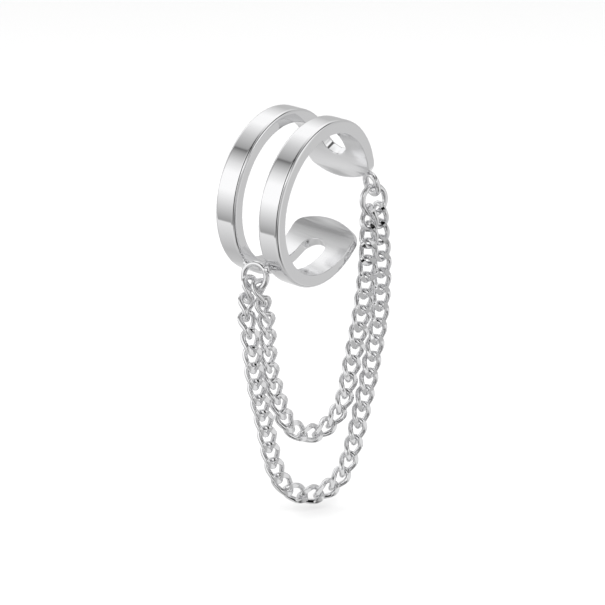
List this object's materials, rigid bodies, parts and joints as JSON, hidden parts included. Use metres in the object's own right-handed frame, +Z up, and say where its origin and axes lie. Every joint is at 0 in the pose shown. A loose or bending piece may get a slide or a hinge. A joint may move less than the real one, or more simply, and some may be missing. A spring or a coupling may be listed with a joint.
{
  "type": "ear chain earring",
  "caption": "Polished silver ear cuff made of two joined flat bands, with two curb chains that hang in loops from a ring across its slot to a jump ring at its tip.",
  "frame": {"origin": "the middle of the cuff's bore, where the rim of the ear passes through", "axes": "+Z up as the jewel hangs when worn, the bore runs nearly along Y with its front end, towards -Y, a little lower, and the mouth of the cuff opens towards +X"},
  "size_m": [0.013, 0.0072, 0.0284],
  "materials": {
    "cuff_silver": "mirror-polished sterling silver",
    "jump_ring_silver": "mirror-polished sterling silver",
    "chain_silver": "polished sterling silver wire"
  },
  "bodies": {
    "root": {"cuff": "cuff_silver", "jump_ring": "jump_ring_silver", "chain_inner": "chain_silver", "chain_outer": "chain_silver"}
  },
  "joints": []
}
